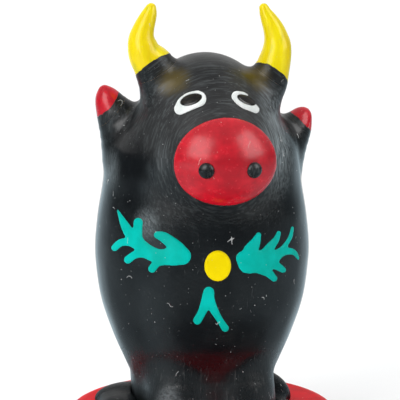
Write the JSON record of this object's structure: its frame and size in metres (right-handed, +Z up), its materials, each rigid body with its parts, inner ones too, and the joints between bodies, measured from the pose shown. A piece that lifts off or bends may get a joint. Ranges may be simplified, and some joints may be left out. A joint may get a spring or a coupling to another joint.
{
  "type": "alebrije figure",
  "caption": "Painted wood bull figure seated on a round base, with horns, ears and tail that push in on dowels.",
  "frame": {"origin": "centre of the felt's underside, on the surface the figure stands on", "axes": "+Z up, the bull looks along -Y, +X is the bull's own left"},
  "size_m": [0.0548, 0.0548, 0.0916],
  "materials": {
    "black_lacquer": "gloss black lacquer over carved and sanded wood",
    "red_paint": "gloss red enamel over wood",
    "yellow_paint": "gloss yellow enamel over wood, black at the root",
    "teal_paint": "raised teal enamel decoration",
    "white_paint": "raised white enamel round the eyes",
    "bare_wood": "bare copal wood, sanded",
    "felt": "pressed wool felt, dark grey",
    "zinc": "zinc-plated steel"
  },
  "bodies": {
    "figure": {"felt_pad": "felt", "base_disc": "red_paint", "body_block": "black_lacquer", "snout_disc": "red_paint", "snout_dowel": "bare_wood", "right_nostril_stud": "black_lacquer", "left_nostril_stud": "black_lacquer", "right_hind_leg": "black_lacquer", "left_hind_leg": "black_lacquer", "right_leg_dowel": "bare_wood", "left_leg_dowel": "bare_wood", "right_base_screw": "zinc", "left_base_screw": "zinc"},
    "right_horn_piece": {"right_horn": "yellow_paint", "right_horn_dowel": "bare_wood"},
    "left_horn_piece": {"left_horn": "yellow_paint", "left_horn_dowel": "bare_wood"},
    "right_ear_piece": {"right_ear": "red_paint", "right_ear_dowel": "bare_wood"},
    "left_ear_piece": {"left_ear": "red_paint", "left_ear_dowel": "bare_wood"},
    "tail_piece": {"tail": "black_lacquer", "tail_dowel": "bare_wood"}
  },
  "joints": [
    {"name": "right_horn_pull", "type": "slide", "parent": "figure", "child": "right_horn_piece", "axis": [-0.5101, 0, 0.8601], "range_m": [0, 0.009]},
    {"name": "left_horn_pull", "type": "slide", "parent": "figure", "child": "left_horn_piece", "axis": [0.6, 0, 0.8], "range_m": [0, 0.009]},
    {"name": "right_ear_pull", "type": "slide", "parent": "figure", "child": "right_ear_piece", "axis": [-0.7413, 0, 0.6712], "range_m": [0, 0.007]},
    {"name": "left_ear_pull", "type": "slide", "parent": "figure", "child": "left_ear_piece", "axis": [0.6919, 0, 0.722], "range_m": [0, 0.007]},
    {"name": "tail_pull", "type": "slide", "parent": "figure", "child": "tail_piece", "axis": [0, 0.9507, 0.3102], "range_m": [0, 0.008]}
  ]
}
